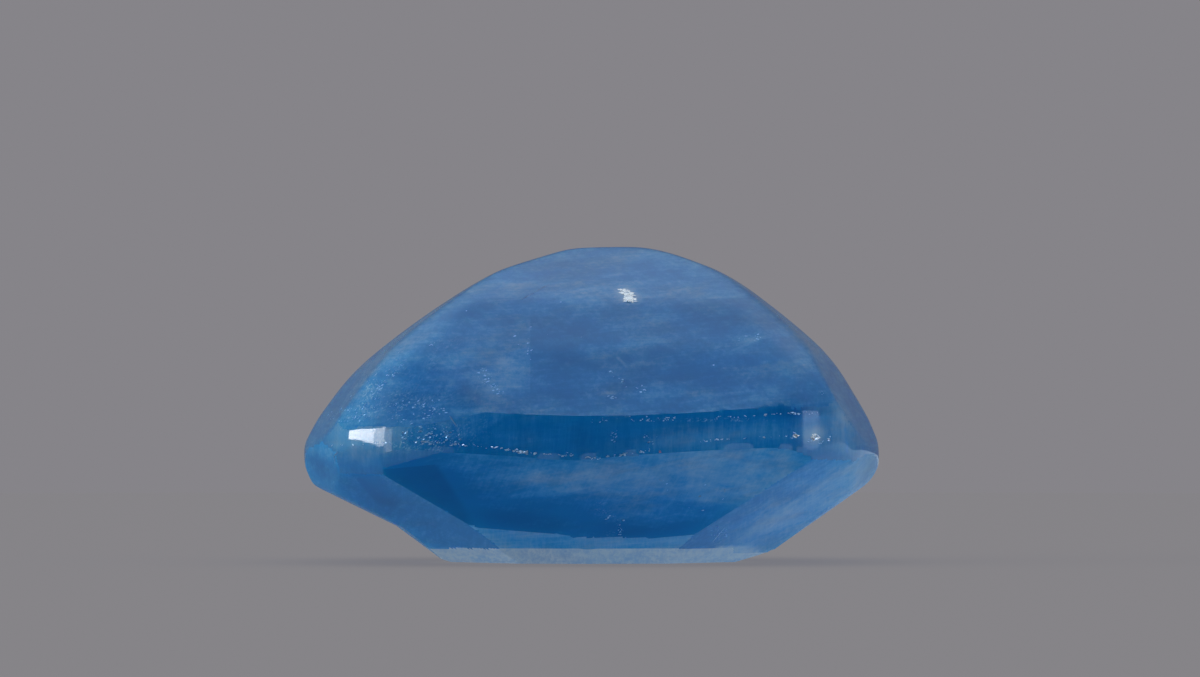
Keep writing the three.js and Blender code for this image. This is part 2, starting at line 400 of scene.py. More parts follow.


# Patches in the stone, in millimetres. The silk tables make the crystal milkier, and some of their patches
# also paint light where the stone looks paler; the painted shade tables deepen the colour where it looks
# darker. An oval patch is given by x, y and z of its middle, its half length, half depth and half height,
# the rise of its long side in degrees, and its strength. One with straight sides paints light and shade in
# the shape of a facet of the far side as it shows through the stone, and is given by its corners and its
# strength. The corners go round clockwise in the front view, each with its x, its z and the softness of
# the side that starts there.
PAVILION_SILK_AND_LIGHT = [
    (-1.9, -3.6, 3.9, 1.0, 2.5, 0.9, 0, 0.09),
    (-4.0, -2.0, 3.9, 1.6, 3.0, 1.0, 40, 0.15),
    (2.9, -3.4, 3.9, 1.1, 1.5, 0.5, 10, 0.06),
    (-4.9, -3.0, 3.1, 0.7, 3.0, 0.5, 60, 0.10),
    (-3.9, -2.0, 4.6, 1.8, 3.0, 0.35, 42, 0.10),
    (4.3, -2.0, 4.6, 1.9, 3.0, 0.8, -45, 0.16),
    (5.2, -3.0, 3.15, 0.7, 2.5, 0.3, -60, 0.22),
    (0.3, -3.6, 4.2, 1.5, 1.5, 0.18, -34, 0.10),
    (2.9, -3.4, 3.9, 1.5, 1.5, 0.14, -42, 0.08),
    (2.2, -1.0, 6.2, 1.8, 2.5, 0.4, -12, 0.10),
    (1.0, -1.0, 6.35, 0.9, 2.5, 0.25, 0, 0.06),
    (2.6, -3.3, 4.95, 1.2, 1.2, 0.35, -4, -0.10),
    (-2.6, -3.3, 5.2, 0.8, 1.5, 0.3, 20, -0.08),
    (-2.5, -4.2, 3.5, 0.5, 1.0, 0.45, 0, -0.10),
    (0.0, -4.4, 3.45, 1.6, 1.0, 0.25, 0, -0.06),
    (2.0, -4.0, 3.9, 1.0, 1.0, 0.3, 10, -0.05),
    (2.1, -3.8, 3.83, 0.9, 1.0, 0.045, 13, 0.16),
    (3.05, -3.6, 4.5, 0.65, 1.0, 0.05, 22, 0.14),
    (3.95, -3.4, 4.28, 0.5, 1.0, 0.05, 15, 0.10),
    (3.3, -3.4, 4.66, 0.42, 1.0, 0.09, 10, 0.22),
    (0.62, -4.0, 4.22, 0.3, 1.0, 0.05, -48, 0.16),
    (1.2, -4.0, 3.72, 0.4, 1.0, 0.05, 20, 0.08),
    (0.35, -4.2, 3.58, 0.3, 1.0, 0.06, 0, 0.22),
    (0.75, -2.6, 5.57, 0.45, 1.2, 0.26, -20, 0.45),
    (0.4, -1.6, 5.98, 0.5, 1.0, 0.05, 10, 0.10),
    (-3.2, -3.4, 3.6, 1.2, 1.5, 0.4, 20, 0.08),
    (1.8, -3.8, 3.6, 1.6, 1.5, 0.3, 6, 0.07),
    ([(-2.7, 5.52, 0.25), (-2.5, 5.86, 0.12), (3.15, 5.86, 0.3), (3.25, 5.52, 0.03)], 0.09),
    ([(-1.26, 5.2, 0.6), (0.2, 5.0, 0.8), (0.0, 3.6, 0.6), (-1.26, 3.6, 0.03)], -0.08),
    ([(-2.7, 5.2, 0.8), (-1.26, 5.2, 0.03), (-1.26, 3.4, 0.6), (-2.5, 3.4, 0.8)], 0.04),
    ([(0.2, 4.5, 0.5), (2.3, 4.5, 0.03), (3.3, 3.5, 0.3), (0.9, 3.5, 0.8)], -0.05),
]
PAVILION_FLECKS = [
    (-4.3, -3.0, 4.1, 1.2, 3.0, 0.6, 42, 0.8),
    (-4.6, -3.0, 3.6, 0.9, 3.0, 0.6, 50, 0.8),
    (-3.9, -3.5, 3.3, 1.9, 3.0, 0.55, 5, 0.9),
    (-2.2, -3.8, 3.85, 0.5, 2.0, 0.45, -40, 0.75),
    (-1.7, -3.8, 4.1, 0.8, 2.0, 0.8, 0, 0.35),
    (-3.3, -3.0, 4.3, 1.6, 3.0, 0.8, 35, 0.35),
    (3.3, -2.6, 4.7, 0.4, 2.0, 0.13, 8, 0.7),
    (0.35, -4.0, 3.58, 0.4, 2.0, 0.12, 0, 0.8),
    (0.8, -3.8, 3.95, 0.5, 2.0, 0.16, -36, 0.5),
]
# Painted shade: patches where the pavilion's colour is deepened, where it looks darker
PAVILION_PAINTED_SHADE = [
    (2.0, -2.8, 4.9, 3.4, 1.5, 1.0, -4, 0.10),
    (-1.9, -2.8, 4.8, 1.6, 1.5, 0.8, 20, 0.14),
    (2.9, -2.8, 5.15, 1.5, 1.5, 0.5, -8, 0.30),
    (-2.6, -2.8, 5.1, 0.9, 1.5, 0.35, 28, 0.30),
    (-3.4, -2.0, 4.85, 2.0, 3.0, 0.28, 38, 0.30),
    (-0.8, -1.0, 6.3, 1.6, 3.0, 0.3, 6, 0.20),
    (-2.4, -4.2, 3.6, 0.5, 1.5, 0.4, 0, 0.28),
    (-3.6, -2.6, 4.3, 1.1, 2.0, 0.3, 40, 0.20),
    (-5.3, -1.5, 3.9, 0.8, 2.5, 0.3, 55, 0.35),
    (5.6, -1.5, 3.6, 1.1, 2.5, 0.2, -60, 0.40),
    (0.3, -4.0, 3.6, 1.4, 1.0, 0.22, 8, 0.18),
    (-0.6, -3.6, 4.6, 0.9, 1.5, 0.9, 80, 0.12),
]
GIRDLE_SILK_AND_LIGHT = [
    (-4.6, -4.0, 2.8, 2.4, 2.0, 0.9, 0, 0.36),
    (5.3, -3.5, 2.9, 1.5, 3.0, 1.0, 0, 0.30),
    (5.2, -3.5, 3.1, 0.5, 3.0, 0.18, -55, 0.16),
    # Painted highlight: this milky patch makes the soft highlight at the girdle's right
    (4.62, -3.8, 2.68, 0.36, 3.0, 0.3, 0, 0.45),
    (2.6, -4.5, 2.7, 2.6, 1.5, 0.45, 4, 0.16),
    (-1.2, -4.7, 2.6, 1.4, 1.0, 0.3, 0, 0.06),
    ([(-3.3, 3.2, 0.2), (-0.3, 3.2, 0.2), (-0.6, 2.88, 0.1), (-2.43, 2.68, 0.12), (-2.9, 2.4, 0.12)], 0.14),
    ([(1.0, 2.75, 0.3), (4.5, 3.0, 0.2), (4.5, 2.5, 0.2), (1.0, 2.2, 0.3)], 0.05),
]
GIRDLE_FLECKS = [
    (-3.9, -3.8, 2.9, 2.5, 3.0, 0.7, 0, 1.0),
    (-3.4, -3.8, 2.5, 1.5, 3.0, 0.2, 0, 1.0),
    (0.5, -4.8, 3.15, 0.5, 1.0, 0.2, 0, 0.6),
    (2.4, -4.8, 3.02, 1.8, 1.0, 0.06, 0, 0.9),
    (4.7, -3.8, 2.7, 0.6, 2.0, 0.3, 0, 0.5),
]
# Painted shade: patches where the girdle's colour is deepened, above its right highlight and at its middle
GIRDLE_PAINTED_SHADE = [
    (4.35, -4.0, 3.2, 1.1, 3.0, 0.16, 1, 0.5),
    (-0.2, -4.8, 2.6, 0.35, 1.0, 0.5, 0, 0.2),
]
GIRDLE_WORN = [(4.6, -3.6, 2.8, 0.9, 2.0, 0.6, 0, 0.16)]
CROWN_SILK_AND_LIGHT = [
    # The first patch is partly silk and partly painted light, making the right of the crown paler
    (2.6, -4.0, 1.9, 4.4, 2.0, 1.15, 2, 0.36),
    (3.4, -4.0, 1.5, 1.6, 2.0, 0.4, 30, 0.12),
    (-0.7, -4.0, 1.8, 2.3, 2.0, 0.5, 4, 0.24),
    (-2.6, -4.3, 2.15, 1.2, 2.0, 0.25, 10, 0.10),
    (-1.0, -4.0, 1.5, 1.6, 2.0, 0.12, 5, 0.12),
    (1.6, -3.6, 1.0, 1.8, 2.0, 0.3, -4, 0.10),
    ([(-3.1, 2.5, 0.05), (4.6, 2.8, 0.3), (1.9, 0.9, 0.8), (-1.9, 1.0, 0.4)], 0.07),
    ([(-3.0, 2.5, 0.1), (4.6, 2.8, 0.3), (4.0, 1.9, 0.5), (-2.4, 1.7, 0.5)], 0.10),
    ([(-3.9, 1.9, 0.3), (-3.0, 2.0, 0.2), (-2.2, 1.2, 0.3), (-2.0, 0.6, 0.3)], -0.05),
]
CROWN_FLECKS = [
    (1.5, -4.0, 1.75, 0.4, 2.0, 0.14, -10, 0.5),
    (0.3, -3.8, 1.2, 0.5, 2.0, 0.3, 0, 0.35),
    (0.4, -3.4, 0.75, 0.5, 2.0, 0.25, 60, 0.35),
]
# Painted shade: patches where the crown's colour is deepened, most at its left
CROWN_PAINTED_SHADE = [
    ([(-4.45, 1.98, 0.03), (-3.2, 2.1, 0.15), (-2.75, 1.45, 0.3), (-2.3, 0.5, 0.3)], 0.4),
    (-1.5, -3.8, 0.95, 1.5, 2.0, 0.35, -6, 0.40),
    (1.0, -3.4, 0.75, 1.6, 2.0, 0.25, 2, 0.25),
    (1.5, -4.2, 1.9, 0.5, 2.0, 0.2, -30, 0.12),
]
END_SILK_AND_LIGHT = [
    # The first patch is partly silk and partly painted light, making the right end paler
    (5.0, -2.5, 1.7, 3.8, 3.5, 1.3, 32, 0.24),
    (3.4, -2.5, 0.6, 1.8, 2.5, 0.6, 28, 0.12),
    (-5.4, -2.5, 2.3, 0.9, 3.0, 0.25, -10, 0.12),
    (-3.6, -3.0, 0.4, 1.6, 3.0, 0.18, -30, 0.08),
    ([(-5.0, 1.95, 0.03), (-4.5, 2.05, 0.3), (-4.0, 1.3, 0.3), (-4.42, 1.22, 0.03)], -0.10),
    ([(-4.0, 1.15, 0.3), (-3.2, 0.9, 0.3), (-2.6, 0.45, 0.3), (-3.4, 0.4, 0.3)], 0.05),
    ([(2.9, 0.45, 0.12), (5.5, 2.2, 0.3), (6.1, 1.8, 0.3), (3.5, -0.1, 0.3)], 0.10),
    ([(2.6, 0.36, 0.08), (3.2, 0.36, 0.5), (4.0, -0.1, 0.3), (2.6, -0.1, 0.2)], 0.45),
    ([(-3.9, 0.28, 0.1), (-2.6, 0.34, 0.1), (-2.6, -0.1, 0.2), (-3.6, -0.1, 0.3)], 0.25),
]
END_FLECKS = [
    (2.7, -3.0, 0.6, 0.6, 3.0, 0.16, 55, 0.9),
    (4.9, -3.0, 2.6, 0.6, 3.0, 0.3, 30, 0.35),
]
# Painted shade: patches where the ends' colour is deepened, most at the left end
END_PAINTED_SHADE = [
    ([(-6.1, 2.3, 0.3), (-4.9, 1.95, 0.2), (-3.9, 1.15, 0.3), (-4.3, 0.9, 0.3)], 0.20),
    ([(-5.0, 1.92, 0.1), (-4.45, 1.98, 0.2), (-3.9, 1.3, 0.3), (-4.4, 1.2, 0.1)], 0.12),
    (-5.9, -2.0, 2.1, 1.1, 3.0, 0.7, -30, 0.5),
    (-3.5, -3.0, 0.95, 1.5, 3.0, 0.5, -32, 0.22),
    (5.9, -1.0, 2.2, 1.0, 3.0, 0.7, 40, 0.8),
    (3.6, -2.0, 0.9, 2.2, 3.0, 0.3, 36, 0.15),
]

# Streaks of silk: the rise in degrees, the length and the thickness in millimetres, and the strength
PAVILION_FIBRES = [(8, 1.6, 0.22, 0.10), (-28, 1.3, 0.16, 0.07), (3, 0.9, 0.06, 0.07), (58, 1.5, 0.3, 0.05)]
GIRDLE_FIBRES = [(90, 0.9, 0.12, 0.06), (86, 0.5, 0.04, 0.04), (4, 1.5, 0.2, 0.05)]
CROWN_FIBRES = [(-6, 1.6, 0.14, 0.07), (14, 2.0, 0.08, 0.05), (60, 0.5, 0.06, 0.05)]
STEP_FIBRES = [(4, 1.2, 0.06, 0.1), (90, 0.4, 0.05, 0.06)]
END_FIBRES = [(90, 0.6, 0.06, 0.07), (36, 0.8, 0.07, 0.07), (20, 0.3, 0.12, 0.06)]
FROST_FIBRES = [(88, 0.25, 0.06, 0.16), (80, 0.4, 0.16, 0.16)]


# The facet groups differ in how milky they are: partly in their finish, and partly as painted light and
# shade, paler on the pavilion and the second step and deeper on the girdle and crown.
def pavilion_material():
    """The pavilion: polished over cloudy silk, so it looks milky blue under a soft sheen."""
    return sapphire_material(
        "polished_pavilion", haze=0.12, cloudy=0.05, grain=0.2, silk=PAVILION_SILK_AND_LIGHT, fibres=PAVILION_FIBRES,
        flecks=PAVILION_FLECKS, shade_patches=PAVILION_PAINTED_SHADE, gloss=0.3)


def girdle_material():
    """The girdle: the clearest crystal and the best polish, so it looks deep blue and mirrors the boxes."""
    return sapphire_material(
        "clear_girdle", haze=0.03, grain=0.07, silk=GIRDLE_SILK_AND_LIGHT, fibres=GIRDLE_FIBRES,
        flecks=GIRDLE_FLECKS, shade_patches=GIRDLE_PAINTED_SHADE, worn=GIRDLE_WORN, rough=0.06)


def crown_material():
    """The crown's main facets: clear and turned down to the table, so they look deep and without sheen."""
    return sapphire_material(
        "polished_crown", haze=-0.05, grain=0.10, silk=CROWN_SILK_AND_LIGHT, fibres=CROWN_FIBRES,
        flecks=CROWN_FLECKS, shade_patches=CROWN_PAINTED_SHADE, clear=0.25, gloss=0.0)


def step_material():
    """The crown's second step: milky and without sheen, so it looks pale and even; its paleness is partly
    painted light.
    """
    return sapphire_material(
        "second_step", haze=0.33, cloudy=0.10, grain=0.08, fibres=STEP_FIBRES, clear=0.15, gloss=0.0)


def end_material():
    """The crown's ends: ground coarsely and hardly polished, so they look dull and finely streaked."""
    return sapphire_material(
        "coarse_ends", haze=0.05, cloudy=0.05, grain=0.12, silk=END_SILK_AND_LIGHT, fibres=END_FIBRES,
        flecks=END_FLECKS, shade_patches=END_PAINTED_SHADE, rough=0.25, clear=0.15, gloss=0.06)


def frosted_material():
    """The bevel round the table: ground and never polished, so it looks frosted, with upright marks. Its
    near-white colour is partly the frost and partly painted light, for the light that comes through the
    stone.
    """
    return sapphire_material(
        "frosted_bevel", haze=0.88, cloudy=0.12, grain=0.10, fibres=FROST_FIBRES, rough=0.5, clear=0.1,
        gloss=0.2, glow=0.0)


# In the order of the materials' numbers
FACET_MATERIALS = [pavilion_material, girdle_material, crown_material, step_material, end_material,
                   frosted_material]


def facet_group(normal):
    """The number of the facet's material, from its slope and the way that it faces."""
    slope = math.degrees(math.acos(min(1, abs(normal[2]))))
    turn = math.degrees(math.atan2(abs(normal[0]), abs(normal[1])))
    if abs(normal[2]) < WALL_RISE:
        return GIRDLE
    if normal[2] > 0:
        return PAVILION
    if slope < BEVEL_SLOPE:
        return FROSTED
    if CROWN_SLOPES[0] < slope < CROWN_SLOPES[1] and turn < CROWN_TURN:
        return CROWN
    if slope > BREAK_SLOPE and turn < BREAK_TURN:
        return GIRDLE
    if slope < STEP_SLOPE and turn < STEP_TURN:
        return STEP
    return END


def facet_planes():
    """The CAD stone's facets as planes: their normals, their distances from the origin in millimetres,
    and the pairs that meet in a hollow edge. Facets on one plane are given once."""
    work = bmesh.new()
    work.from_mesh(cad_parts["sapphire"].data)
    bmesh.ops.remove_doubles(work, verts=work.verts, dist=MERGE_DISTANCE * MM)
    bmesh.ops.dissolve_limit(work, angle_limit=math.radians(FLAT_ANGLE), verts=work.verts, edges=work.edges)
    faces = [face for face in work.faces if face.calc_area() > SMALLEST_FACET * MM * MM]
    normals = np.array([face.normal[:] for face in faces])
    middles = np.array([face.calc_center_median()[:] for face in faces]) / MM
    planes = np.hstack([normals, (normals * middles).sum(axis=1, keepdims=True)])
    kinds, where = np.unique(np.round(planes, 2), axis=0, return_inverse=True)
    firsts = np.array([np.flatnonzero(where.ravel() == kind)[0] for kind in range(len(kinds))])
    number = {face.index: where.ravel()[row] for row, face in enumerate(faces)}
    hollows = set()
    for edge in work.edges:
        if len(edge.link_faces) != 2 or edge.is_convex:
            continue
        pair = [number.get(face.index) for face in edge.link_faces]
        if edge.calc_face_angle() > math.radians(HOLLOW_ANGLE) and None not in pair:
            hollows.add(tuple(sorted(pair)))
    work.free()
    return planes[firsts], sorted(hollows)


def keep_one(distance, columns, kept_column):
    """Of some facets' distances in each row, leaves one and takes the others out of the reckoning."""
    rows = np.arange(len(distance))
    kept = distance[rows, kept_column]
    distance[:, columns] = FAR_INSIDE
    distance[rows, kept_column] = kept


def block_field(points, wear, planes, hollows):
    """stone_field's work on one block of points."""
    distance = points @ planes[:, :3].T - planes[:, 3]
    for outer, inner in hollows:
        lower = np.where(distance[:, outer] < distance[:, inner], outer, inner)
        keep_one(distance, [outer, inner], lower)
    walls = np.abs(planes[:, 2]) < WALL_RISE
    keep_one(distance, walls, np.where(walls, distance, FAR_INSIDE).argmax(axis=1))
    highest = distance.max(axis=1, keepdims=True)
    weight = np.exp(np.maximum((distance - highest) / wear, LEAST_EXPONENT))
    total = weight.sum(axis=1, keepdims=True)
    top = np.argpartition(-distance, 1, axis=1)[:, :2]
    top_distance = np.take_along_axis(distance, top, axis=1)
    order = np.argsort(-top_distance, axis=1)
    return (highest[:, 0] + wear[:, 0] * np.log(total[:, 0]), (weight / total) @ planes[:, :3],
            np.take_along_axis(top, order, axis=1), np.take_along_axis(top_distance, order, axis=1))


def stone_field(points, planes, hollows, softness):
    """How far each point lies outside the stone, which way is out, and the two facets that are nearest, with
    their distances. Each facet gives a signed distance; of two that meet in a hollow edge the lower one
    counts, and the walls of the girdle count as one curved wall. The distances are joined by a soft
    maximum, the softness times the log of the sum of exp(distance / softness), which rounds the edges."""
    blocks = [block_field(points[first:first + BLOCK], softness[first:first + BLOCK, None], planes, hollows)
              for first in range(0, len(points), BLOCK)]
    return [np.concatenate(column) for column in zip(*blocks)]


def edge_softness(points):
    """The wear of the edges at each point: crisp at the girdle and crown, rounder up the pavilion and
    roundest up its corners."""
    up = np.clip((points[:, 2] - WEAR_HEIGHTS[0]) / (WEAR_HEIGHTS[1] - WEAR_HEIGHTS[0]), 0, 1)
    out = np.clip((np.abs(points[:, 0]) - WEAR_REACHES[0]) / (WEAR_REACHES[1] - WEAR_REACHES[0]), 0, 1)
    return LEAST_WEAR + UPPER_WEAR * up + CORNER_WEAR * up * out + END_WEAR * out ** 3


def snap_to_edges(points, facets, distances, planes):
    """Moves the points that are near an edge onto it, where two facets' planes meet. The move goes along the
    two facets' normals, by the shares that bring both distances to 0."""
    first, second = distances.T
    one, two = planes[facets[:, 0], :3], planes[facets[:, 1], :3]
    lean = (one * two).sum(axis=1)
    turn = np.sqrt(np.maximum(1 - lean ** 2, 1e-6))
    near = (np.abs(first - second) < EDGE_REACH * turn) & (turn > LEAST_TURN)
    share_one = -(first - lean * second) / turn ** 2
    share_two = -(second - lean * first) / turn ** 2
    move = share_one[:, None] * one + share_two[:, None] * two
    near &= np.linalg.norm(move, axis=1) < 2 * EDGE_REACH
    points[near] += move[near]


def level_line(points, height, planes, hollows, softness):
    """Brings the net's points that are near a height onto it, and moves them level back onto the stone. Those
    that lie by an edge of two facets stay."""
    near = np.flatnonzero(np.abs(points[:, 2] - height) < LEVEL_REACH)
    distances = stone_field(points[near], planes, hollows, softness[near])[3]
    near = near[distances[:, 0] - distances[:, 1] > LEVEL_REACH]
    moved = points[near]
    moved[:, 2] = height
    for _ in range(LEVELLING_ROUNDS):
        outside, out, _, _ = stone_field(moved, planes, hollows, softness[near])
        level = out[:, :2]
        moved[:, :2] -= (outside / np.maximum((level ** 2).sum(axis=1), LEAST_LEVEL))[:, None] * level
    points[near] = moved


def settle(points, planes, hollows):
    """Moves the net's points onto the stone's worn surface, back along the way out by how far they lie
    outside, a few times over. Those by a crisp edge then go onto the edge."""
    softness = edge_softness(points)
    for _ in range(SETTLING_ROUNDS):
        outside, out, _, _ = stone_field(points, planes, hollows, softness)
        points -= (outside / (out ** 2).sum(axis=1))[:, None] * out
    crisp = softness < CRISP_WEAR
    moved = points[crisp]
    _, _, facets, distances = stone_field(moved, planes, hollows, softness[crisp])
    snap_to_edges(moved, facets, distances, planes)
    points[crisp] = moved
    for height in (FROST_TOP, STEP_TOP):
        level_line(points, height, planes, hollows, softness)


def vectors_of(parts, name):
    """A vector that each part of a mesh has, as the rows of an array."""
    values = np.empty(len(parts) * 3)
    parts.foreach_get(name, values)
    return values.reshape(-1, 3)


def net_over_cad(name):
    """An object with a fine even net drawn over the CAD solid, in millimetres."""
    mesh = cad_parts["sapphire"].data.copy()
    mesh.name = name
    mesh.materials.clear()
    mesh.transform(Matrix.Scale(1 / MM, 4))
    stone = bpy.data.objects.new(name, mesh)
    bpy.context.collection.objects.link(stone)
    net = stone.modifiers.new("net", "REMESH")
    net.mode = "VOXEL"
    net.voxel_size = NET_STEP
    drawn = bpy.data.meshes.new_from_object(stone.evaluated_get(bpy.context.evaluated_depsgraph_get()))
    stone.modifiers.clear()
    stone.data = drawn
    return stone


def give_materials(mesh, planes, hollows):
    """Gives each face of the net the material of the facet that it lies on."""
    for make in FACET_MATERIALS:
        mesh.materials.append(make())
    middles = vectors_of(mesh.polygons, "center") / MM
    facets = stone_field(middles, planes, hollows, np.full(len(middles), LEAST_WEAR))[2]
    group = np.array([facet_group(plane) for plane in planes])[facets[:, 0]]
    height = middles[:, 2]
    low = (height > FROST_FOOT) & (height < FROST_TOP)
    group[low & (np.abs(middles[:, 0]) < FROST_HALF_LENGTH)] = FROSTED
    group[(group == CROWN) & (height < STEP_TOP)] = STEP
    mesh.polygons.foreach_set("material_index", group.astype(np.int32))


def stone_piece():
    """The stone: a fine even net is drawn over the CAD solid, and each of its points is moved onto the
    solid's facets, with the edges between them worn round."""
    planes, hollows = facet_planes()
    stone = net_over_cad("sapphire_stone")
    mesh = stone.data
    points = vectors_of(mesh.vertices, "co")
    settle(points, planes, hollows)
    mesh.vertices.foreach_set("co", (points * MM).ravel())
    give_materials(mesh, planes, hollows)
    mesh.polygons.foreach_set("use_smooth", np.ones(len(mesh.polygons), dtype=bool))
    mesh.set_sharp_from_angle(angle=math.radians(SHARP_ANGLE))
    mesh.update()
    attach(stone, "root")
    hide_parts("sapphire")
    return stone


def photo_rays(pixels, behind):
    """Where the camera's rays through the photograph's pixels start, and the way they go. behind turns them
    half round the stone, so that the far side can be given its own."""
    eye, aim, scale, tilt = camera_place()
    across = (pixels[:, 0] - PHOTO_WIDTH / 2) * scale
    down = (pixels[:, 1] - PHOTO_HEIGHT / 2) * scale
    plane = np.stack([aim[0] + across, -down * math.sin(tilt), aim[2] - down * math.cos(tilt)], axis=1)
    start = np.tile(eye, (len(pixels), 1))
    if behind:
        plane[:, :2] *= -1
        start[:, :2] *= -1
    ways = plane - start
    return start, ways / np.linalg.norm(ways, axis=1, keepdims=True)


def on_stone(tree, pixels, behind=False):
    """The points of the stone's surface that the photograph's pixels show, and its normals there."""
    starts, ways = photo_rays(np.asarray(pixels, dtype=float), behind)
    hits = [tree.ray_cast(Vector(start), Vector(way))[:2] for start, way in zip(starts, ways)]
    hits = [hit for hit in hits if hit[0] is not None]
    places = np.array([place[:] for place, _ in hits]).reshape(-1, 3)
    normals = np.array([normal[:] for _, normal in hits]).reshape(-1, 3)
    return places, normals


def lens_mesh(name, middles, along, normals, half_long, half_wide, half_thick, ragged, random):
    """Many small closed lenses in one mesh. A lens has a rim of RIM points, middle + half_long * cos(t) *
    along + half_wide * sin(t) * across, each pushed in or out a little, and one pole above and one below.
    Their points are kept within the stone's box."""
    count = len(middles)
    along = along - (along * normals).sum(axis=1, keepdims=True) * normals
    along /= np.linalg.norm(along, axis=1, keepdims=True)
    across = np.cross(normals, along)
    turn = np.linspace(0, 2 * math.pi, RIM, endpoint=False)
    push = 1 + ragged * random.uniform(-1, 1, (count, RIM))
    rim = (middles[:, None] + (half_long[:, None] * np.cos(turn) * push)[..., None] * along[:, None]
           + (half_wide[:, None] * np.sin(turn) * push)[..., None] * across[:, None])
    poles = middles[:, None] + np.array([1.0, -1.0])[:, None] * (half_thick[:, None] * normals)[:, None]
    points = np.clip(np.concatenate([rim, poles], axis=1).reshape(-1, 3), *cad_box)
    here = np.arange(RIM)
    ahead = np.roll(here, -1)
    upper = np.stack([here, ahead, np.full(RIM, RIM)], axis=1)
    lower = np.stack([ahead, here, np.full(RIM, RIM + 1)], axis=1)
    firsts = np.arange(count) * (RIM + 2)
    faces = (np.concatenate([upper, lower])[None] + firsts[:, None, None]).reshape(-1, 3)
    mesh = bpy.data.meshes.new(name)
    mesh.from_pydata(points.tolist(), [], faces.tolist())
    return mesh


def stone_detail(name, mesh, material):
    """Makes one piece that belongs to the stone."""
    piece = bpy.data.objects.new(name, mesh)
    bpy.context.collection.objects.link(piece)
    mesh.materials.append(material)
    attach(piece, "root")


def scattered(patches, random):
    """Pixels scattered over oval patches of the photograph."""
    spots = []
    for x, y, wide, high, angle, count in patches:
        turn, reach = random.uniform(0, 2 * math.pi, count), np.sqrt(random.uniform(0, 1, count))
        flat, tall = wide * reach * np.cos(turn), high * reach * np.sin(turn)
        rise = math.radians(angle)
        spots.append(np.stack([x + flat * math.cos(rise) + tall * math.sin(rise),
                               y - flat * math.sin(rise) + tall * math.cos(rise)], axis=1))
    return np.concatenate(spots)


def along_lines(lines, random):
    """Pixels scattered along lines of the photograph."""
    spots = []
    for x0, y0, x1, y1, spread, count in lines:
        part = random.uniform(0, 1, count)[:, None]
        spots.append(np.array([x0, y0]) + part * np.array([x1 - x0, y1 - y0])
                     + random.normal(0, spread, (count, 2)))
    return np.concatenate(spots)


def fleck_piece(name, tree, spots, material, seed, sizes, lean, lift, rise):
    """Small lenses let into the surface at the spots, on both sides of the stone. sizes is the range of
    half lengths in millimetres, lean how far they tip out of the surface at random and lift how far up,
    rise the angle of their long side in the front view and how far it strays, in degrees."""
    random = np.random.default_rng(seed)
    sides = [on_stone(tree, spots, behind) for behind in (False, True)]
    places, normals = [np.concatenate(parts) for parts in zip(*sides)]
    count = len(places)
    tipped = normals + lean * random.normal(0, 1, (count, 3)) + np.array([0, 0, lift])
    tipped /= np.linalg.norm(tipped, axis=1, keepdims=True)
    angle = np.radians(rise[0] + rise[1] * random.normal(0, 1, count))
    along = np.stack([np.cos(angle), FLECK_TURN * random.normal(0, 1, count), np.sin(angle)], axis=1)
    half_long = (sizes[0] + (sizes[1] - sizes[0]) * random.uniform(0, 1, count) ** 2) * MM
    half_wide = half_long * random.uniform(*LENS_WIDTHS, count)
    half_thick = half_wide * LENS_THICKNESS
    middles = places - LET_IN * half_thick[:, None] * normals
    stone_detail(name, lens_mesh(name, middles, along, tipped, half_long, half_wide, half_thick,
                                 RAGGED_RIM, random), material)


def line_piece(name, tree, lines, material, seed, half_width):
    """Long thin lenses along straight lines of the photograph, let into the surface; half width in
    millimetres."""
    ends = np.array(lines, dtype=float)
    way = on_stone(tree, ends[:, 2:])[0] - on_stone(tree, ends[:, :2])[0]
    middles, normals = on_stone(tree, (ends[:, :2] + ends[:, 2:]) / 2)
    half_long = np.linalg.norm(way, axis=1) / 2
    half_wide = np.full(len(way), half_width * MM)
    half_thick = np.full(len(way), half_width * LINE_THICKNESS * MM)
    stone_detail(name, lens_mesh(name, middles, way, normals, half_long, half_wide, half_thick,
                                 RAGGED_LINE, np.random.default_rng(seed)), material)


def pit_material(name, colour, rough):
    """Polishing dirt or rust in a pit of the crystal: dull, with the crystal's blue showing through."""
    material = new_material(name)
    tree = material.node_tree
    place = in_millimetres(tree)
    change = add_node(tree, "TexNoise", {"Vector": place, "Scale": PIT_SPOTS, "Detail": 2.0})
    bare = add_node(tree, "MapRange", [change, *PIT_SPAN], SMOOTH)
    base = add_node(tree, "Mix", {0: bare, 6: linear(colour), 7: linear(PIT_BLUE)}, COLOURS, 2)
    shader = add_node(tree, "BsdfPrincipled", {"Base Color": base, "Roughness": rough, "IOR": CORUNDUM_IOR})
    add_node(tree, "OutputMaterial", {"Surface": shader})
    return material


def mirror_material(name, colour, rough):
    """An open cleavage or a chip: a film of air under the crystal that throws all the light back."""
    material = new_material(name)
    tree = material.node_tree
    shader = add_node(tree, "BsdfPrincipled", {
        "Base Color": linear(colour), "Metallic": 1.0, "Roughness": rough})
    add_node(tree, "OutputMaterial", {"Surface": shader})
    return material


